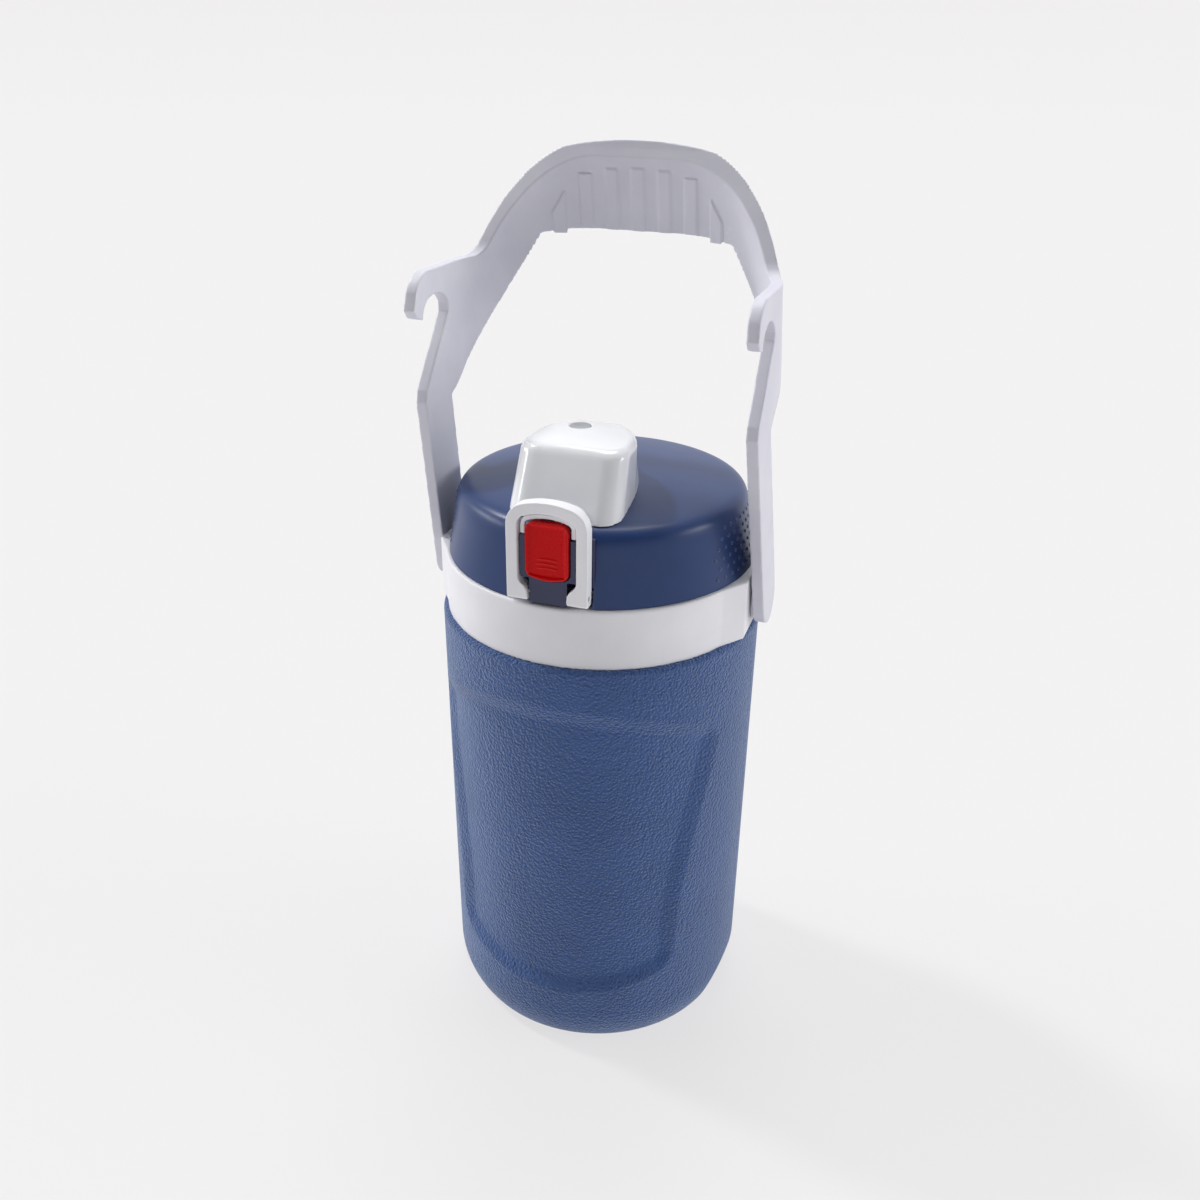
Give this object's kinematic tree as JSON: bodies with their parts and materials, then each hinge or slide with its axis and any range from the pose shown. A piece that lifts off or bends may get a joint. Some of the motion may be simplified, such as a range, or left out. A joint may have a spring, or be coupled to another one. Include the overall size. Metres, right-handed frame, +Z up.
{
  "type": "insulated water jug",
  "caption": "Insulated water jug with a swinging carry handle that has fence hooks, a screw lid, a push-button flip cap over the spout and a wire-style lock loop.",
  "frame": {"origin": "centre of the base, on the plane the jug stands on", "axes": "+Z up along the jug's axis, -Y towards the push button at the front, +X to the right"},
  "size_m": [0.1562, 0.1444, 0.3994],
  "materials": {
    "jacket_blue": "leather-grain moulded plastic, satin",
    "band_white": "fine satin",
    "handle_white": "satin moulded",
    "lid_navy": "satin with a fine grain",
    "latch_navy": "smooth",
    "button_red": "semi-gloss",
    "cap_white": "glossy",
    "loop_white": "satin",
    "liner_white": "smooth food-safe plastic",
    "foam": "closed-cell foam",
    "seal_grey": "soft translucent rubber",
    "spring_steel": "drawn wire"
  },
  "bodies": {
    "jug": {"outer_shell": "jacket_blue", "foam_insulation": "foam", "inner_liner": "liner_white", "base_fill_plug": "jacket_blue", "collar_band": "band_white", "left_pivot_pin": "handle_white", "right_pivot_pin": "handle_white"},
    "handle": {"handle": "handle_white"},
    "lid_carrier": {"lid_gasket": "seal_grey"},
    "lid": {"lid_shell": "lid_navy", "lid_liner": "liner_white", "lid_foam": "foam", "spout": "cap_white", "latch_bezel": "latch_navy", "button_spring": "spring_steel", "cap_spring": "spring_steel", "loop_axle": "spring_steel", "cap_hinge_pin": "spring_steel"},
    "flip_cap": {"flip_cap": "cap_white", "cap_seal": "seal_grey"},
    "button": {"release_button": "button_red"},
    "lock_loop": {"lock_loop": "loop_white"}
  },
  "joints": [
    {"name": "handle_swing", "type": "hinge", "parent": "jug", "child": "handle", "pos_m": [0, 0, 0.21925], "axis": [1, 0, 0], "range_deg": [-105, 100]},
    {"name": "lid_lift", "type": "slide", "parent": "jug", "child": "lid_carrier", "axis": [0, 0, 1], "range_m": [0, 0.0017]},
    {"name": "lid_turn", "type": "hinge", "parent": "lid_carrier", "child": "lid", "pos_m": [0, 0, 0.25], "axis": [0, 0, 1], "range_deg": [0, 50]},
    {"name": "cap_flip", "type": "hinge", "parent": "lid", "child": "flip_cap", "pos_m": [0, 0.0034, 0.2718], "axis": [-1, 0, 0], "range_deg": [0, 100]},
    {"name": "button_press", "type": "slide", "parent": "lid", "child": "button", "axis": [0, 1, 0], "range_m": [0, 0.002], "stiffness_N_per_m": 400, "springref_m": -0.001, "deforming": ["button_spring"]},
    {"name": "lock_loop_swing", "type": "hinge", "parent": "lid", "child": "lock_loop", "pos_m": [0, -0.0669, 0.2377], "axis": [1, 0, 0], "range_deg": [0, 110]}
  ],
  "couplings": [
    {"joint": "lid_lift", "follows": "lid_turn", "m_per_rad": 0.0019099}
  ]
}
